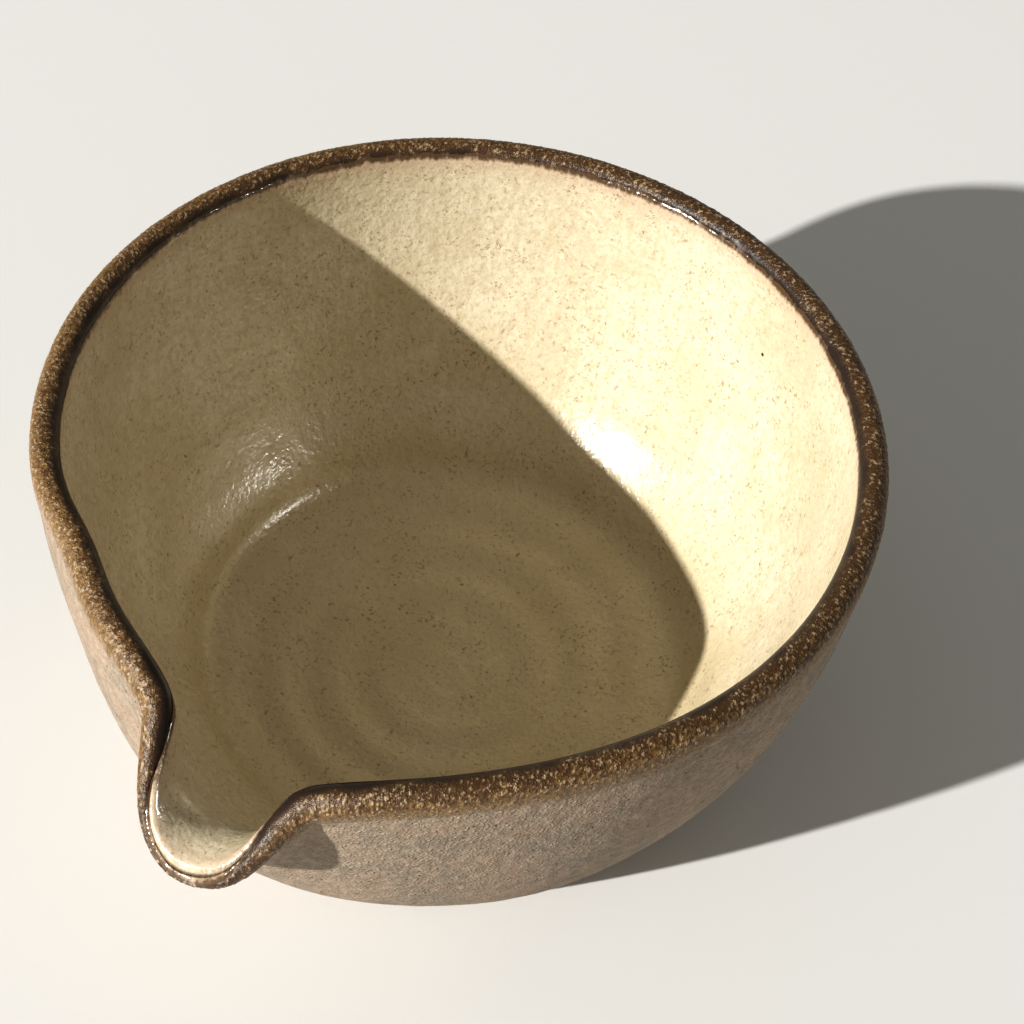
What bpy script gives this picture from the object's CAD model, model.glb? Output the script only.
from math import cos, pi, radians, sin

import bpy
import numpy as np
from mathutils import Matrix, Vector, noise


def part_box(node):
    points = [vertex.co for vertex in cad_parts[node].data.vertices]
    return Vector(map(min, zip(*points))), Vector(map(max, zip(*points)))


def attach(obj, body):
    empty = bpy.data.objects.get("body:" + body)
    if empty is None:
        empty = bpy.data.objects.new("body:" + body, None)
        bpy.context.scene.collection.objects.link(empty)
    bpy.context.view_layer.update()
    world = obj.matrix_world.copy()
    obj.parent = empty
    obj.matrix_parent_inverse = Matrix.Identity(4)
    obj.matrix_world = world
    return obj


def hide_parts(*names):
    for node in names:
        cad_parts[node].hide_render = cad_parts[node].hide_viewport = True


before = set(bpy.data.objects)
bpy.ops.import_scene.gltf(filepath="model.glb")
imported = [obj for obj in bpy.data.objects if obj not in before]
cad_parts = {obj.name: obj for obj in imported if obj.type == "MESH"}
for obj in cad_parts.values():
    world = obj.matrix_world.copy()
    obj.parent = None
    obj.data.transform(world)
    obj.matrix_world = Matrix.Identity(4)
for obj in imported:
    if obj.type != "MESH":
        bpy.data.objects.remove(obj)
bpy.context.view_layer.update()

# A hand-thrown stoneware pouring bowl, in metres, in the frame of the CAD model: +Z up, +X through the spout.
# "Level" is 0 at the foot and 1 at the lip, along the wall.
MM = 0.001

# The thrown bowl, bare clay
RIM_RADIUS = 67.1 * MM          # outside of the lip, away from the spout
LIP_HALF = 2.0 * MM             # half of the wall's thickness at the lip
LIP_LEVEL_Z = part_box("clay_body")[1].z - LIP_HALF
FOOT_HALF = 2.5 * MM            # half of the wall's thickness just above the foot
FOOT_RADIUS = 42.5 * MM
WALL_START_RADIUS = 41.2 * MM   # middle of the wall's thickness at level 0
WALL_ROUNDNESS = 2.03           # higher values make the wall turn upright sooner
WALL_FIRST = 0.07               # lowest level of the thickened wall, just above the foot
FLOOR_LEVEL = -0.02             # where the inside of the wall has turned flat into the floor
FLOOR_Z = 4.4 * MM              # top of the clay floor, in the middle
FLOOR_RISE = 7.0 * MM           # how much the dished floor has risen above the edge of the foot
FLOOR_BLEND = 3.5               # lower values turn the floor up into the wall more softly

# The pulled spout
TONGUE_REACH = 8.5 * MM         # narrow channel, pulled out past the rim
TONGUE_WIDTH = radians(8.8)
TONGUE_SQUARENESS = 5.0
TONGUE_GROWTH = 5.0             # how the channel grows from the foot to the lip
TONGUE_DROP = 6.2 * MM          # how far the channel's end was bent down
TIP_HALF = 0.95 * MM            # half of the lip's thickness at the tip of the spout
TIP_GROWTH = 4.0                # how soon the wall thins towards the tip
SKIRT_REACH = 8.3 * MM          # swelling of the rim on both sides of the channel
SKIRT_NEAR = radians(39.5)      # its half angle on the +Y side
SKIRT_FAR = radians(15.0)       # and on the -Y side
SKIRT_FADE = 2.4
SKIRT_GROWTH = 3.7
DIP_DEPTH = 11.1 * MM           # the rim sinks this far into the spout
DIP_WIDTH = radians(13.0)
DIP_FADE = 2.0
DROP_GROWTH = 5.0               # how the dip grows from the foot to the lip
BELLY_REACH = 4.7 * MM          # the wall bulges under the spout
BELLY_WIDTH = radians(24.3)
BELLY_GROWTH = 1.4              # higher values keep the bulge at half height
PINCH_DEPTH = 1.75 * MM         # the potter's finger pressed the rim in beside the spout
PINCH_ANGLE = radians(-36.3)
PINCH_WIDTH = radians(9.4)
PINCH_GROWTH = 3.0

# Marks of the potter's fingers on the inside
SPIRAL_PITCH = 10.8 * MM
SPIRAL_DEPTH = 0.24 * MM
SPIRAL_CLIMB = 0.6              # higher values give it more turns up the wall
SPIRAL_TURN = 0.6               # angle at which it starts
SWIRL_PITCH = 4.2 * MM          # finer spiral in the very middle
SWIRL_DEPTH = 0.06 * MM
SHOULDER_Z = 17.5 * MM          # soft shoulder low on the wall
SHOULDER_HALF = 4.8 * MM
SHOULDER_DEPTH = 1.2 * MM

# The glazes. They end at a run along the surface from the top of the lip, negative on the outside.
GLAZE = 0.4 * MM                # thickness of both
BAND_OUT = -7.4 * MM
BAND_IN = 3.0 * MM
BAND_IN_TILT = 0.8 * MM         # the bowl was dipped slightly askew, deeper on one side
BAND_IN_DEEPEST = radians(24)
BAND_IN_SPOUT = 3.5 * MM        # the cream glaze runs nearly to the tip of the spout
SHIFT_START = -1.3 * MM         # the runs are shifted to follow that edge from here at the spout, else from 0
SHIFT_LENGTH = 1.5 * MM         # and fully after this much more
GRIT_IN = 1.4 * MM              # the grit reaches this far down the inside, further opposite the spout
GRIT_IN_TILT = 0.5 * MM
GRIT_FADE = 0.7 * MM

# Mesh resolution
COLUMNS = 768
BAND_COLUMNS = 1536
CROWDING = 0.40                 # how much the columns crowd towards the spout
SMALLEST_SPACING = 0.4 * MM     # between the points of a ring
FEWEST_COLUMNS = 20
BASE_RINGS = 12
FOOT_EDGE = (0.12, 0.3, 0.5, 0.7, 0.87)   # rings between the base and the lowest level of the wall
UNDER_LINING = 16               # one ring of a glaze's hidden underside for so many of its top
UNDER_BAND = 6
SLOPE_STEP = 1e-4
CLIMB_STEP = 0.05               # share of the wall whose length gives the runs near the lip
RUN_TO_FOOT = 80 * MM           # rough runs, far past the glazes' edges
RUN_TO_MIDDLE = 90 * MM


# ---------------------------------------------------------------- shape

def unit(vectors):
    return vectors / np.linalg.norm(vectors, axis=-1, keepdims=True)


def smooth_step(value, start, end):
    """0 before the start, 1 past the end, and smooth between them."""
    t = np.clip((value - start) / (end - start), 0, 1)
    return t * t * (3 - 2 * t)


def column_angles(count):
    """Angles round the bowl, starting opposite the spout and closest together at the spout."""
    turns = -pi + 2 * pi * np.arange(count) / count
    return turns - CROWDING * np.sin(turns)


def tongue(angle):
    """1 on the middle of the channel, falling steeply to 0 at its sides."""
    return np.exp(-(np.abs(angle) / TONGUE_WIDTH) ** TONGUE_SQUARENESS)


def hump(angle, middle, width):
    """1 at the middle angle, falling softly to 0 on both sides."""
    return np.exp(-((angle - middle) / width) ** 2)


def pulled_out(angle, level):
    """How far the wall is pulled out from the round bowl."""
    skirt = (1 + (angle / np.where(angle > 0, SKIRT_NEAR, SKIRT_FAR)) ** 2) ** -SKIRT_FADE
    halfway = np.maximum(0, 4 * level * (1 - level))
    reach = TONGUE_REACH * tongue(angle) * level ** TONGUE_GROWTH
    reach = reach + SKIRT_REACH * skirt * level ** SKIRT_GROWTH
    reach = reach + BELLY_REACH * hump(angle, 0, BELLY_WIDTH) * halfway ** BELLY_GROWTH
    return reach - PINCH_DEPTH * hump(angle, PINCH_ANGLE, PINCH_WIDTH) * level ** PINCH_GROWTH


def drawn_down(angle, level):
    """How far the wall sinks below the round bowl's."""
    dip = (1 + (angle / DIP_WIDTH) ** 2) ** -DIP_FADE
    return (TONGUE_DROP * tongue(angle) + DIP_DEPTH * dip) * level ** DROP_GROWTH


def mid_wall(angle, level):
    """Middle of the wall's thickness, as an array of points."""
    above = np.maximum(0, level)
    opening = 1 - np.maximum(0, 1 - level) ** WALL_ROUNDNESS
    radius = WALL_START_RADIUS + (RIM_RADIUS - LIP_HALF - WALL_START_RADIUS) * opening
    radius = radius + pulled_out(angle, above)
    height = LIP_LEVEL_Z * level - drawn_down(angle, above)
    return np.stack([radius * np.cos(angle), radius * np.sin(angle), height], -1)


def wall_frame(angle, level):
    """Outward normal of the wall and the direction in which it rises."""
    around = mid_wall(angle + SLOPE_STEP, level) - mid_wall(angle - SLOPE_STEP, level)
    rising = unit(mid_wall(angle, level) - mid_wall(angle, level - SLOPE_STEP))
    return unit(np.cross(around, rising)), rising


def half_thickness(angle, level):
    thinned = LIP_HALF + (TIP_HALF - LIP_HALF) * tongue(angle) * level ** TIP_GROWTH
    return thinned + (FOOT_HALF - LIP_HALF) * (1 - level)


def floor_height(radius):
    """Top of the dished clay floor."""
    return FLOOR_Z + FLOOR_RISE * (radius / FOOT_RADIUS) ** 2


def outer_wall(angle, level):
    outward, _ = wall_frame(angle, level)
    return mid_wall(angle, level) + outward * half_thickness(angle, level)[..., None]


def inner_wall(angle, level):
    outward, _ = wall_frame(angle, level)
    point = mid_wall(angle, level) - outward * half_thickness(angle, level)[..., None]
    wall = np.maximum(0, point[..., 2])
    floor = floor_height(np.hypot(point[..., 0], point[..., 1]))
    point[..., 2] = (wall ** FLOOR_BLEND + floor ** FLOOR_BLEND) ** (1 / FLOOR_BLEND)
    return point


def lip(angle, turn):
    """Point on the rounded lip, half a turn from its outside to its inside."""
    top = np.ones_like(angle)
    outward, rising = wall_frame(angle, top)
    reach = half_thickness(angle, top)[..., None]
    return mid_wall(angle, top) + reach * (outward * cos(turn) + rising * sin(turn))


def floor_point(angle, radius):
    return np.stack([radius * np.cos(angle), radius * np.sin(angle), floor_height(radius)], -1)


# ---------------------------------------------------------------- meshes

def seeded(seed):
    """A shift that gives each use of a noise its own pattern."""
    return Vector((seed * 7.3, seed * 3.1, seed * 5.7))


def wobble(points, size, depth, seed):
    """Smooth noise between -depth and depth at each point, with features of the given size."""
    shift = seeded(seed)
    values = [noise.noise(Vector(p) + shift) for p in points.reshape(-1, 3) / size]
    return depth * np.array(values).reshape(points.shape[:-1])


def grains(points, size, seed):
    """Sand grains of that size stuck in the surface: 0 between them and up to 1 on the largest."""
    shift = seeded(seed)
    radius, scatter = 0.62, 5.1
    heights = []
    for p in points.reshape(-1, 3) / size:
        distances, centres = noise.voronoi(Vector(p) + shift)
        strength = 0.6 + 0.4 * noise.cell(centres[0] * scatter)
        heights.append(strength * max(0.0, 1 - (distances[0] / radius) ** 2))
    return np.array(heights).reshape(points.shape[:-1])


def ragged(points, runs):
    """Runs that wander, so that the glazes' edges aren't straight. Both glazes share the pattern."""
    return runs + wobble(points, size=2.2 * MM, depth=0.45 * MM, seed=5)


def normals(grid):
    """Normals that point away from the clay, for rings up the outside, over the lip and down the inside."""
    around = np.roll(grid, -1, 1) - np.roll(grid, 1, 1)
    along = np.gradient(grid, axis=0)
    return unit(np.cross(around, along))


class Skin:
    """Rings of points on the bare clay, each with its run along the surface from the top of the lip.

    The runs are shifted so that the dark band's uneven inside edge is at BAND_IN all the way round.
    from_top holds them without that shift.
    """

    def __init__(self, columns):
        self.angle = column_angles(columns)
        self.points, self.runs, self.from_top = [], [], []
        top = self.all_round(1)
        rise = mid_wall(self.angle, top) - mid_wall(self.angle, top - CLIMB_STEP)
        self.climb = np.linalg.norm(rise, axis=-1) / CLIMB_STEP
        self.quarter = half_thickness(self.angle, top) * pi / 2
        self.deeper = BAND_IN_TILT * np.cos(self.angle - BAND_IN_DEEPEST) - BAND_IN_SPOUT * tongue(self.angle)
        self.shift_start = SHIFT_START * tongue(self.angle)

    def all_round(self, value):
        return np.full_like(self.angle, value)

    def add(self, points, run):
        run = run + self.all_round(0)
        shifted = smooth_step(run, self.shift_start, self.shift_start + SHIFT_LENGTH)
        self.points.append(points)
        self.from_top.append(run)
        self.runs.append(run - self.deeper * shifted)

    def outer(self, levels):
        for level in levels:
            run = -self.quarter - (1 - level) * self.climb
            self.add(outer_wall(self.angle, self.all_round(level)), run)

    def over_lip(self, turns):
        for turn in turns:
            self.add(lip(self.angle, turn), (turn * 2 / pi - 1) * self.quarter)

    def inner(self, levels):
        for level in levels:
            run = self.quarter + (1 - level) * self.climb
            self.add(inner_wall(self.angle, self.all_round(level)), run)

    def floor(self, rings):
        """Rings from the end of the wall nearly to the middle."""
        first = np.hypot(self.points[-1][0, 0], self.points[-1][0, 1])
        last = 1.2 * MM
        for radius in np.linspace(first, last, rings + 1)[1:]:
            run = self.quarter + RUN_TO_MIDDLE - radius
            self.add(floor_point(self.angle, self.all_round(radius)), run)

    def grid(self):
        points = np.array(self.points)
        return points, normals(points), np.array(self.runs)


def thin_out(points, runs):
    """Drops every second point of a ring, again and again, where the points would get too close together."""
    rings, ring_runs = [], []
    for ring, run in zip(points, runs):
        girth = 2 * pi * np.hypot(ring[:, 0], ring[:, 1]).mean()
        step = 1
        while len(ring) / step > FEWEST_COLUMNS and girth * step / len(ring) < SMALLEST_SPACING:
            step *= 2
        rings.append(ring[::step])
        ring_runs.append(run[::step])
    return rings, ring_runs


def ring_faces(count_a, count_b, first_a, first_b):
    """Faces between two rings, the second with as many points as the first or half as many."""
    faces = []
    if count_a == count_b:
        for c in range(count_a):
            d = (c + 1) % count_a
            faces.append((first_a + c, first_a + d, first_b + d, first_b + c))
        return faces
    for c in range(count_b):
        d = (c + 1) % count_b
        left, middle, right = 2 * c, 2 * c + 1, (2 * c + 2) % count_a
        faces.append((first_a + left, first_a + middle, first_b + c))
        faces.append((first_a + middle, first_b + d, first_b + c))
        faces.append((first_a + middle, first_a + right, first_b + d))
    return faces


def build(name, rings, values, replaced, joined=False):
    """A closed piece from rings of points. A ring may have half or twice the points of the one before it.

    The values are float attributes, each a list of rings of numbers. The first and the last ring are
    joined or else capped.
    """
    first, faces = [0], []
    for ring in rings:
        first.append(first[-1] + len(ring))
    pairs = list(zip(range(len(rings) - 1), range(1, len(rings))))
    if joined:
        pairs.append((len(rings) - 1, 0))
    for a, b in pairs:
        if len(rings[a]) >= len(rings[b]):
            faces += ring_faces(len(rings[a]), len(rings[b]), first[a], first[b])
        else:
            flipped = ring_faces(len(rings[b]), len(rings[a]), first[b], first[a])
            faces += [tuple(reversed(face)) for face in flipped]
    if not joined:
        faces.append(tuple(range(len(rings[0]) - 1, -1, -1)))
        faces.append(tuple(range(first[-2], first[-1])))
    mesh = bpy.data.meshes.new(name)
    mesh.from_pydata(np.concatenate(rings).tolist(), [], faces)
    for key, numbers in values.items():
        numbers = np.concatenate(numbers).astype(np.float32)
        mesh.attributes.new(key, "FLOAT", "POINT").data.foreach_set("value", numbers)
    mesh.shade_smooth()
    piece = bpy.data.objects.new(name, mesh)
    bpy.context.scene.collection.objects.link(piece)
    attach(piece, "root")
    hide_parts(replaced)
    return piece


def add_base(skin):
    """The flat base, and the trimmed edge from it up to the wall."""
    base = FOOT_RADIUS - 1.2 * MM
    for radius in np.geomspace(2 * MM, base, BASE_RINGS):
        flat = [radius * np.cos(skin.angle), radius * np.sin(skin.angle), skin.all_round(0)]
        skin.add(np.stack(flat, -1), -RUN_TO_MIDDLE)
    foot = outer_wall(skin.angle, skin.all_round(WALL_FIRST))
    edge = skin.points[-1] * (FOOT_RADIUS / base)
    for share in FOOT_EDGE:
        outwards = (foot - edge) * [1, 1, 0] * share ** 0.9
        upwards = np.array([0, 0, foot[0, 2]]) * share
        skin.add(edge + outwards + upwards, -RUN_TO_FOOT)


def clay_piece():
    """The clay, sunk a little under the glazes."""
    skin = Skin(COLUMNS)
    add_base(skin)
    skin.outer(np.linspace(WALL_FIRST, 1, num=92))
    skin.over_lip(np.linspace(0, pi, num=9)[1:-1])
    skin.inner(np.linspace(1, FLOOR_LEVEL, num=12))
    skin.floor(rings=7)
    points, outward, runs = skin.grid()
    bare = smooth_step(-runs, -BAND_OUT - 2.0 * MM, -BAND_OUT - 0.2 * MM)
    swell = wobble(points, size=26 * MM, depth=0.16 * MM, seed=1)
    swell += wobble(points, size=2.6 * MM, depth=0.06 * MM, seed=2)
    swell += wobble(points, size=1.1 * MM, depth=0.07 * MM, seed=3)
    swell *= smooth_step(points[..., 2], 0, 3 * MM)
    sunk = 0.2 * MM
    depth = swell * bare - sunk * (1 - bare)
    depth[:BASE_RINGS + len(FOOT_EDGE)] = 0
    rings, ring_runs = thin_out(points + outward * depth[..., None], runs)
    return build("clay_body_visual", rings, {"run": ring_runs}, "clay_body")


def throwing_rings(points):
    """How far the potter's fingers raised the surface: a spiral on the floor, and a shoulder on the wall."""
    radius = np.hypot(points[..., 0], points[..., 1])
    angle = np.arctan2(points[..., 1], points[..., 0])
    height = points[..., 2]
    path = radius + SPIRAL_CLIMB * np.maximum(0, height - FLOOR_Z)
    spiral = np.sin(2 * pi * path / SPIRAL_PITCH - angle + SPIRAL_TURN)
    spiral *= smooth_step(radius, 5 * MM, 16 * MM) * (1 - smooth_step(height, 14 * MM, 40 * MM))
    spiral *= 0.6 + wobble(points, size=25 * MM, depth=0.4, seed=12)
    swirl = np.sin(2 * pi * radius / SWIRL_PITCH - angle) * (1 - smooth_step(radius, 3 * MM, 9 * MM))
    shoulder = np.exp(-((height - SHOULDER_Z) / SHOULDER_HALF) ** 2)
    shoulder *= 1 + wobble(points, size=18 * MM, depth=0.25, seed=14)
    return SPIRAL_DEPTH * spiral + SWIRL_DEPTH * swirl + SHOULDER_DEPTH * shoulder


def lining_piece():
    """The cream glaze, with its top edge tucked under the dark band."""
    skin = Skin(COLUMNS)
    just_inside = 1.75
    skin.over_lip(np.linspace(just_inside, pi, num=9)[:-1])
    skin.inner(np.linspace(1, FLOOR_LEVEL, num=100))
    skin.floor(rings=48)
    points, outward, runs = skin.grid()
    tucked = 1 - smooth_step(ragged(points, runs), BAND_IN - 0.8 * MM, BAND_IN + 0.5 * MM)
    depth = GLAZE - 0.30 * MM * tucked + throwing_rings(points)
    depth += wobble(points, size=30 * MM, depth=0.25 * MM, seed=6)
    depth += wobble(points, size=4 * MM, depth=0.05 * MM, seed=7)
    depth += wobble(points, size=1.4 * MM, depth=0.02 * MM, seed=4)
    rings, ring_runs = thin_out(points + outward * depth[..., None], runs)
    under = list(range(0, len(points), UNDER_LINING)) + [len(points) - 1]
    buried = 0.3 * MM
    below, below_runs = thin_out((points - outward * buried)[under], runs[under])
    return build("glaze_lining_visual", below[::-1] + rings, {"run": below_runs[::-1] + ring_runs},
                 "glaze_lining")


def band_piece():
    """The dark band over the lip, gritty outside and on top, with both edges tucked into the surface."""
    skin = Skin(BAND_COLUMNS)
    spare_out, spare_in = 1.0 * MM, 1.4 * MM
    lowest = 1 + (BAND_OUT + LIP_HALF * pi / 2 - spare_out) / LIP_LEVEL_Z
    skin.outer(np.linspace(lowest, 1, num=19))
    skin.over_lip(np.linspace(0, pi, num=27)[1:-1])
    skin.inner(np.linspace(1, 1 - spare_in / LIP_LEVEL_Z, num=5))
    points, outward, runs = skin.grid()
    wandering = ragged(points, runs)
    tucked_in = smooth_step(wandering, BAND_IN - 0.5 * MM, BAND_IN + 0.6 * MM)
    tucked_out = smooth_step(-wandering, -BAND_OUT - 2.6 * MM, -BAND_OUT + 0.2 * MM)
    gritty_to = GRIT_IN - GRIT_IN_TILT * np.cos(skin.angle - BAND_IN_DEEPEST)
    gritty_to = gritty_to + wobble(points, size=4 * MM, depth=0.9 * MM, seed=11)
    grit = smooth_step(gritty_to - np.array(skin.from_top), -GRIT_FADE, GRIT_FADE)
    sand = grains(points, size=0.50 * MM, seed=8) * grit
    depth = GLAZE + 0.15 * MM * sand - 0.05 * MM * grit
    depth += wobble(points, size=6 * MM, depth=0.04 * MM, seed=10)
    depth += wobble(points, size=0.8 * MM, depth=0.03 * MM, seed=9) * grit
    depth -= 0.35 * MM * tucked_in + (GLAZE + 0.10 * MM) * tucked_out
    upper = list(points + outward * depth[..., None])
    under = list(range(len(points) - 1, -1, -UNDER_BAND))
    buried = 0.45 * MM
    below = list((points - outward * buried)[under])
    values = {"run": runs, "grain": sand, "grit": grit}
    values = {key: list(numbers) + list(numbers[under]) for key, numbers in values.items()}
    return build("rim_glaze_visual", upper + below, values, "rim_glaze", joined=True)


clay = clay_piece()
lining = lining_piece()
band = band_piece()


# ---------------------------------------------------------------- materials

# Colours, as linear red, green and blue
CREAM = (0.74, 0.67, 0.52)
CREAM_DULL = (0.57, 0.485, 0.33)
CREAM_POOLED = (0.45, 0.36, 0.19)
CREAM_PINK = (0.60, 0.45, 0.34)
SPECK = (0.23, 0.135, 0.050)
SPECK_DARK = (0.045, 0.025, 0.012)
IRON = (0.034, 0.022, 0.017)
IRON_WARM = (0.095, 0.052, 0.022)
OCHRE = (0.25, 0.150, 0.058)
GRIT_PALE = (0.49, 0.375, 0.24)
CLAY = (0.355, 0.272, 0.205)
CLAY_GREY = (0.295, 0.245, 0.19)
CLAY_DARK = (0.17, 0.12, 0.085)
CLAY_PALE = (0.53, 0.435, 0.345)

# The dark glaze thins out to bare clay between these, in millimetres down the outside
FADE_START = 3.6
FADE_END = 7.6

# Sizes of the clay's grains, in millimetres
COARSE_SAND = 0.62
FINE_SAND = 0.36
FINE_SAND_IN_GLAZE = 0.34


class Shader:
    """Short ways to add and link nodes in one material. Sizes and places are in millimetres."""

    def __init__(self, name):
        self.material = bpy.data.materials.new(name)
        self.material.use_nodes = True
        self.tree = self.material.node_tree
        self.principled = self.tree.nodes["Principled BSDF"]
        position = self.add("ShaderNodeTexCoord").outputs["Object"]
        self.place = self.vector("MULTIPLY", position, (1 / MM, 1 / MM, 1 / MM))
        self.run = self.math("MULTIPLY", self.attribute("run"), 1 / MM)

    def add(self, kind, **settings):
        node = self.tree.nodes.new(kind)
        for key, value in settings.items():
            setattr(node, key, value)
        return node

    def put(self, socket, value):
        """Links the socket to another socket or sets its number."""
        if hasattr(value, "is_output"):
            self.tree.links.new(value, socket)
        else:
            socket.default_value = value

    def attribute(self, name):
        return self.add("ShaderNodeAttribute", attribute_name=name).outputs["Fac"]

    def axis(self, name):
        node = self.add("ShaderNodeSeparateXYZ")
        self.put(node.inputs[0], self.place)
        return node.outputs[name]

    def math(self, operation, a, b=0.0, c=0.0):
        node = self.add("ShaderNodeMath", operation=operation)
        for socket, value in zip(node.inputs, (a, b, c)):
            self.put(socket, value)
        return node.outputs[0]

    def vector(self, operation, a, b):
        node = self.add("ShaderNodeVectorMath", operation=operation)
        self.put(node.inputs[0], a)
        self.put(node.inputs[1], b)
        return node.outputs[0]

    def between(self, value, low, high, start=0.0, end=1.0):
        """Smoothly maps low..high to start..end."""
        node = self.add("ShaderNodeMapRange", interpolation_type="SMOOTHSTEP")
        for socket, given in zip(node.inputs, (value, low, high, start, end)):
            self.put(socket, given)
        return node.outputs[0]

    def noise(self, size, detail=3.0, roughness=0.5, place=None, shift=0.0):
        """Noise in 0..1 with features of that size. The shift gives each use its own pattern."""
        node = self.add("ShaderNodeTexNoise")
        place = place or self.place
        if shift:
            place = self.vector("ADD", place, (shift, shift * 0.7, -shift))
        self.put(node.inputs["Vector"], place)
        node.inputs["Scale"].default_value = 1.0 / size
        node.inputs["Detail"].default_value = detail
        node.inputs["Roughness"].default_value = roughness
        return node.outputs["Fac"]

    def streaks(self, size, squeeze, shift):
        """Noise drawn out up and down by 1 over the squeeze."""
        place = self.vector("MULTIPLY", self.place, (1.0, 1.0, squeeze))
        return self.noise(size, roughness=0.6, place=place, shift=shift)

    def jitter(self, value, noise, spread):
        """The value, moved up and down by the noise over that spread."""
        return self.math("ADD", value, self.math("MULTIPLY_ADD", noise, spread, -spread / 2))

    def bent(self, waves, reach):
        """The place, bent by noise with so many waves in a millimetre. It turns round marks into dashes."""
        node = self.add("ShaderNodeTexNoise")
        self.put(node.inputs["Vector"], self.place)
        node.inputs["Scale"].default_value = waves
        shift = self.vector("MULTIPLY", node.outputs["Color"], (reach, reach, reach))
        return self.vector("ADD", shift, self.place)

    def cells(self, spacing, shift, place=None):
        """Cells round random points: the distance from the point, and two random numbers of each cell."""
        node = self.add("ShaderNodeTexVoronoi", feature="F1")
        place = self.vector("ADD", place or self.place, (shift, -shift, shift * 0.5))
        self.put(node.inputs["Vector"], place)
        node.inputs["Scale"].default_value = 1.0 / spacing
        pick = self.add("ShaderNodeSeparateColor")
        self.put(pick.inputs[0], node.outputs["Color"])
        return node.outputs["Distance"], pick.outputs[0], pick.outputs[1]

    def specks(self, spacing, low, high, share, shift, place=None):
        """Round specks, low to high in radius: 1 inside. Only that share of the cells holds one."""
        distance, chance, bigness = self.cells(spacing, shift, place)
        radius = self.between(bigness, 0.0, 1.0, low / spacing, high / spacing)
        inside = self.between(self.math("SUBTRACT", radius, distance), 0.0, 0.4 * low / spacing)
        return self.math("MULTIPLY", inside, self.math("LESS_THAN", chance, share))

    def sand(self, size, shift):
        """Round grains in 0..1 with a random strength each, and another random number of each."""
        distance, strength, chance = self.cells(size, shift)
        round_top = self.between(distance, 0.15, 0.6, 1.0, 0.0)
        return self.math("MULTIPLY", round_top, strength), chance

    def mix(self, share, a, b):
        """Colour a where the share is 0, and b where it is 1."""
        node = self.add("ShaderNodeMix", data_type="RGBA")
        self.put(node.inputs["Factor"], share)
        self.put(node.inputs[6], a if hasattr(a, "is_output") else (*a, 1))
        self.put(node.inputs[7], b if hasattr(b, "is_output") else (*b, 1))
        return node.outputs[2]

    def tint(self, color, other, share, strength):
        """The colour with the other one over it, as strong as the strength where the share is 1."""
        return self.mix(self.math("MULTIPLY", share, strength), color, other)

    def bump(self, height, depth, normal=None):
        """Bump from a 0..1 height, that many millimetres deep."""
        node = self.add("ShaderNodeBump")
        self.put(node.inputs["Height"], height)
        node.inputs["Distance"].default_value = depth * MM
        if normal:
            self.put(node.inputs["Normal"], normal)
        return node.outputs[0]

    def finish(self, color, roughness, normal, **constants):
        inputs = self.principled.inputs
        self.put(inputs["Base Color"], color)
        self.put(inputs["Roughness"], roughness)
        self.put(inputs["Normal"], normal)
        for key, value in constants.items():
            inputs[key.replace("_", " ")].default_value = value
        return self.material


def down_outside(m):
    """Millimetres down the outside from the top of the lip, ragged, and 2 more where it was dipped less."""
    dipped_less = m.between(m.axis("Y"), -50.0, 25.0, 2.0, 0.0)
    down = m.math("MULTIPLY_ADD", m.run, -1.0, dipped_less)
    down = m.jitter(down, m.streaks(size=0.9, squeeze=0.22, shift=3), spread=7.0)
    return m.jitter(down, m.noise(size=8, detail=2, shift=13), spread=3.0)


def past_band(m):
    """Millimetres past the dark band's edge on the inside, ragged: positive on the cream."""
    past = m.math("SUBTRACT", m.run, BAND_IN / MM)
    past = m.jitter(past, m.streaks(size=0.8, squeeze=0.3, shift=6), spread=1.8)
    return m.jitter(past, m.noise(size=5, detail=2, shift=33), spread=1.2)


def on_outside(m):
    """1 on the outside of the bowl, and 0 inside."""
    return m.math("LESS_THAN", m.run, 0.0)


def clay_color(m, grain, chance):
    """The clay's colour, from its grains and the random number of each."""
    patches = m.between(m.noise(size=10, detail=4, roughness=0.55), 0.40, 0.60)
    color = m.mix(patches, CLAY, CLAY_GREY)
    cloudy = m.between(m.noise(size=1.7, detail=4, roughness=0.65, shift=9), 0.40, 0.66)
    color = m.tint(color, CLAY_PALE, cloudy, strength=0.40)
    pits = m.between(m.noise(size=0.8, roughness=0.6, shift=45), 0.52, 0.68)
    color = m.tint(color, CLAY_DARK, pits, strength=0.30)
    color = m.mix(m.between(grain, 0.35, 0.85, 0.0, 0.60), color, CLAY_PALE)
    rare = m.math("GREATER_THAN", chance, 0.95)
    return m.tint(color, SPECK_DARK, rare, strength=m.between(grain, 0.2, 0.5, 0.0, 0.7))


def clay_material():
    m = Shader("bare_stoneware")
    coarse, chance = m.sand(COARSE_SAND, shift=5)
    fine, _ = m.sand(FINE_SAND, shift=17)
    rust = m.math("MULTIPLY", m.between(down_outside(m), FADE_START, FADE_END, 0.9, 0.0), on_outside(m))
    color = m.mix(rust, clay_color(m, coarse, chance), OCHRE)
    grain = m.bump(coarse, depth=0.13)
    grain = m.bump(fine, 0.04, grain)
    grain = m.bump(m.noise(size=0.6, shift=45), 0.12, grain)
    grain = m.bump(m.noise(size=2.0, roughness=0.6, shift=31), 0.30, grain)
    return m.finish(color, m.between(rust, 0.0, 1.0, 0.85, 0.55), grain, Specular_IOR_Level=0.35)


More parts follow.
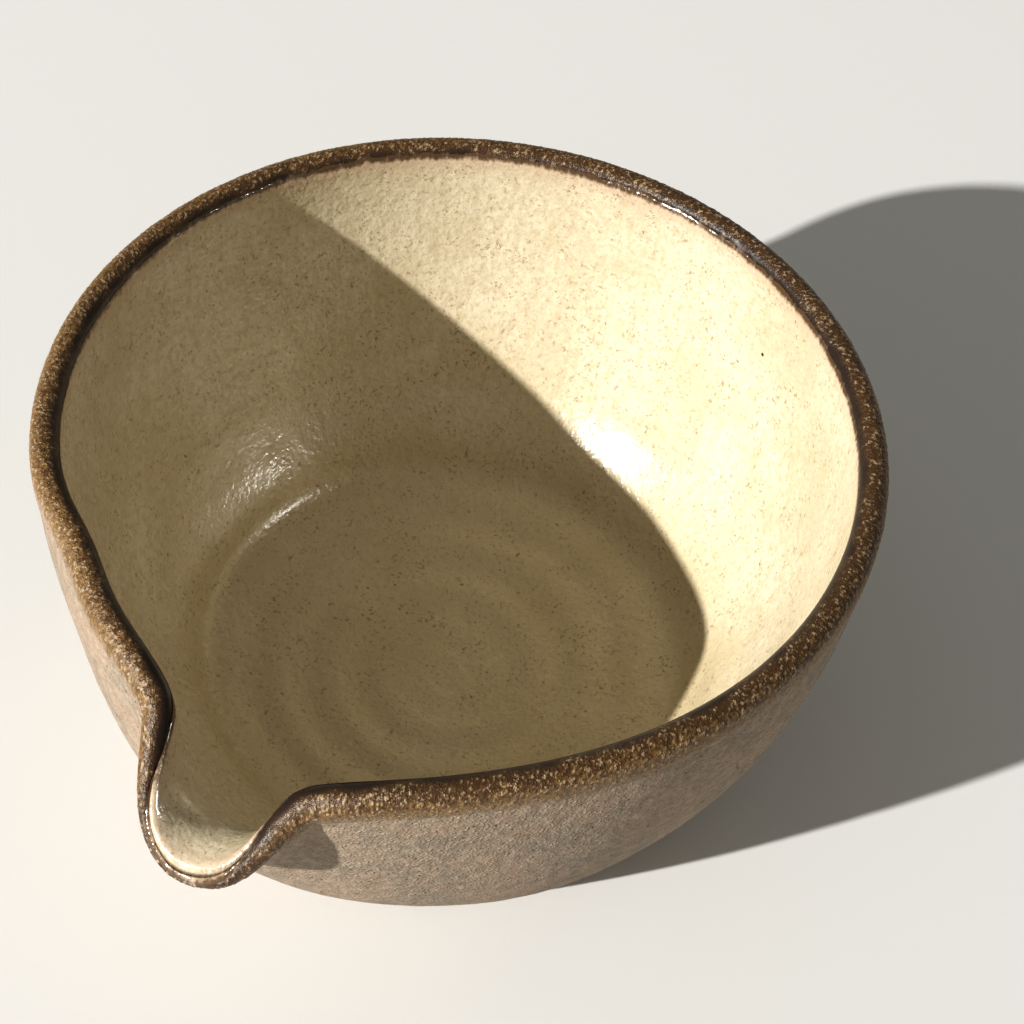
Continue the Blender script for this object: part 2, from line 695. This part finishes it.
def speckled(m, color):
    """The cream glaze's iron specks: fine pepper and dashes in clumps, larger spots, and a few dark ones."""
    bent = m.bent(waves=1.1, reach=1.3)
    clumps = m.between(m.noise(size=4.5, roughness=0.6, shift=51), 0.42, 0.62, 0.30, 1.0)
    pepper = m.between(m.noise(size=0.75, roughness=0.60, shift=17), 0.55, 0.68, 0.0, 0.55)
    color = m.tint(color, SPECK, pepper, strength=clumps)
    dashes = m.specks(spacing=0.95, low=0.13, high=0.27, share=0.50, shift=5, place=bent)
    color = m.tint(color, SPECK, m.math("MULTIPLY", dashes, clumps), strength=0.50)
    spots = m.specks(spacing=3.4, low=0.18, high=0.36, share=0.35, shift=11, place=bent)
    color = m.tint(color, SPECK, spots, strength=0.70)
    dark = m.specks(spacing=19.0, low=0.32, high=0.60, share=0.40, shift=23)
    return m.tint(color, SPECK_DARK, dark, strength=0.95)


def lining_material():
    m = Shader("cream_glaze")
    past = past_band(m)
    pooled = m.between(m.noise(size=22, shift=2), 0.38, 0.66)
    color = m.tint(CREAM, CREAM_POOLED, pooled, strength=0.30)
    color = m.mix(m.between(m.axis("Z"), 10.0, 30.0, 0.50, 0.0), color, CREAM_POOLED)
    streaks = m.streaks(size=1.7, squeeze=0.15, shift=6)
    color = m.mix(m.between(streaks, 0.46, 0.75, 0.0, 0.45), color, CREAM_DULL)
    mottle = m.between(m.noise(size=1.3, detail=5, roughness=0.70, shift=41), 0.42, 0.66)
    color = m.tint(color, CREAM_DULL, mottle, strength=0.60)
    color = m.mix(m.between(past, 0.4, 5.0, 0.60, 0.0), color, CREAM_PINK)
    color = speckled(m, color)
    color = m.mix(m.between(past, 0.1, 1.3, 0.95, 0.0), color, IRON_WARM)
    peel = m.bump(m.noise(size=1.6, detail=2, shift=8), depth=0.17)
    peel = m.bump(m.noise(size=0.8, detail=2, shift=17), 0.08, peel)
    roughness = m.between(m.noise(size=6, shift=14), 0.3, 0.7, 0.20, 0.32)
    roughness = m.math("MULTIPLY_ADD", m.between(past, 1.0, 6.0, 1.0, 0.0), -0.06, roughness)
    return m.finish(color, roughness, peel, IOR=1.48, Coat_Weight=0.15, Coat_Roughness=0.12)


def band_material():
    """Dark and smooth inside, brown with pale grit on top, ochre and then bare clay down the outside."""
    m = Shader("iron_glaze")
    down = down_outside(m)
    gritty = m.attribute("grit")
    coarse, chance = m.sand(COARSE_SAND, shift=5)
    fine, _ = m.sand(FINE_SAND_IN_GLAZE, shift=19)
    color = m.mix(m.between(down, -3.2, -0.4), IRON, IRON_WARM)
    cloudy = m.between(m.noise(size=0.7, roughness=0.6, shift=29), 0.38, 0.62, -1.2, 1.2)
    color = m.mix(m.between(m.math("ADD", down, cloudy), 0.4, 3.4), color, OCHRE)
    runny = m.streaks(size=0.55, squeeze=0.3, shift=59)
    color = m.mix(m.between(runny, 0.44, 0.60, 0.0, 0.65), color, IRON_WARM)
    grit = m.math("MULTIPLY_ADD", fine, 0.35, m.attribute("grain"))
    color = m.mix(m.between(grit, 0.20, 0.80, 0.0, 0.85), color, GRIT_PALE)
    color = m.mix(gritty, IRON, color)
    bare = m.math("MULTIPLY", m.between(down, FADE_START, FADE_END), on_outside(m))
    color = m.mix(bare, color, clay_color(m, coarse, chance))
    color = m.mix(m.between(past_band(m), -0.5, 0.9, 0.0, 0.7), color, CREAM_PINK)
    normal = m.bump(m.math("MULTIPLY", fine, gritty), depth=0.09)
    rough = m.noise(size=0.6, detail=4, roughness=0.6, shift=45)
    normal = m.bump(m.math("MULTIPLY", rough, gritty), 0.20, normal)
    normal = m.bump(m.noise(size=1.5, detail=2, shift=37), 0.05, normal)
    roughness = m.between(gritty, 0.0, 1.0, 0.40, 0.34)
    roughness = m.math("MULTIPLY_ADD", bare, 0.45, roughness)
    roughness = m.math("MULTIPLY_ADD", m.between(down, 1.0, 5.0), 0.15, roughness)
    return m.finish(color, roughness, normal, IOR=1.52)


clay.data.materials.append(clay_material())
lining.data.materials.append(lining_material())
band.data.materials.append(band_material())


# ---------------------------------------------------------------- stage, light and camera

TABLE_HALF = 1.6
TABLE_COLOR = (0.82, 0.825, 0.812, 1)
TABLE_ROUGHNESS = 0.6
ROOM_COLOR = (1.0, 0.975, 0.91, 1)
ROOM_STRENGTH = 0.215
LAMPS_AIM = Vector((0, 0, 30 * MM))     # in the bowl, about half way up
VIEW_AIM = Vector((11.6, 14.9, 71.0)) * MM
VIEW_AZIMUTH = radians(23.6)    # where the camera stands, round from the spout
VIEW_ELEVATION = radians(49.9)
VIEW_ROLL = radians(5.75)
VIEW_DISTANCE = 353 * MM
LENS = 80.9
SENSOR_WIDTH = 36


def direction(azimuth, elevation):
    return Vector((cos(elevation) * cos(azimuth), cos(elevation) * sin(azimuth), sin(elevation)))


def table():
    mesh = bpy.data.meshes.new("table")
    corners = [(x * TABLE_HALF, y * TABLE_HALF, 0) for x, y in ((-1, -1), (1, -1), (1, 1), (-1, 1))]
    mesh.from_pydata(corners, [], [(0, 1, 2, 3)])
    piece = bpy.data.objects.new("table", mesh)
    bpy.context.scene.collection.objects.link(piece)
    material = bpy.data.materials.new("pale_table")
    material.use_nodes = True
    inputs = material.node_tree.nodes["Principled BSDF"].inputs
    inputs["Base Color"].default_value = TABLE_COLOR
    inputs["Roughness"].default_value = TABLE_ROUGHNESS
    mesh.materials.append(material)


def area_light(name, azimuth, elevation, distance, size, power, color, only_gloss_of=None):
    """A round lamp. It can be one that shows only as gloss on one piece."""
    light = bpy.data.lights.new(name, "AREA")
    light.shape = "DISK"
    light.size = size
    light.energy = power
    light.color = color
    lamp = bpy.data.objects.new(name, light)
    toward = direction(azimuth, elevation)
    lamp.location = toward * distance + LAMPS_AIM
    lamp.rotation_euler = toward.to_track_quat("Z", "Y").to_euler()
    if only_gloss_of:
        lamp.visible_diffuse = False
        lamp.light_linking.receiver_collection = bpy.data.collections.new(name)
        lamp.light_linking.receiver_collection.objects.link(only_gloss_of)
    bpy.context.scene.collection.objects.link(lamp)


def soft_room():
    world = bpy.data.worlds.new("room")
    world.use_nodes = True
    background = world.node_tree.nodes["Background"]
    background.inputs["Color"].default_value = ROOM_COLOR
    background.inputs["Strength"].default_value = ROOM_STRENGTH
    bpy.context.scene.world = world


def camera():
    data = bpy.data.cameras.new("camera")
    data.lens = LENS
    data.sensor_width = SENSOR_WIDTH
    piece = bpy.data.objects.new("camera", data)
    back = direction(VIEW_AZIMUTH, VIEW_ELEVATION)
    level_right = Vector((-sin(VIEW_AZIMUTH), cos(VIEW_AZIMUTH), 0))
    level_up = back.cross(level_right)
    right = level_right * cos(VIEW_ROLL) + level_up * sin(VIEW_ROLL)
    up = level_up * cos(VIEW_ROLL) - level_right * sin(VIEW_ROLL)
    turn = Matrix((right, up, back)).transposed().to_4x4()
    piece.matrix_world = Matrix.Translation(VIEW_AIM + back * VIEW_DISTANCE) @ turn
    bpy.context.scene.collection.objects.link(piece)
    bpy.context.scene.camera = piece


table()
# The low sun, and a window that shows only as a reflection in the lining
area_light("key", azimuth=radians(-30.3), elevation=radians(27), distance=8.0, size=0.15, power=735,
           color=(1.0, 0.98, 0.955))
area_light("window", azimuth=radians(104), elevation=radians(29), distance=1.2, size=0.40, power=14,
           color=(1.0, 0.98, 0.95), only_gloss_of=lining)
soft_room()
camera()
bpy.context.scene.view_settings.view_transform = "Standard"
bpy.context.scene.view_settings.look = "High Contrast"
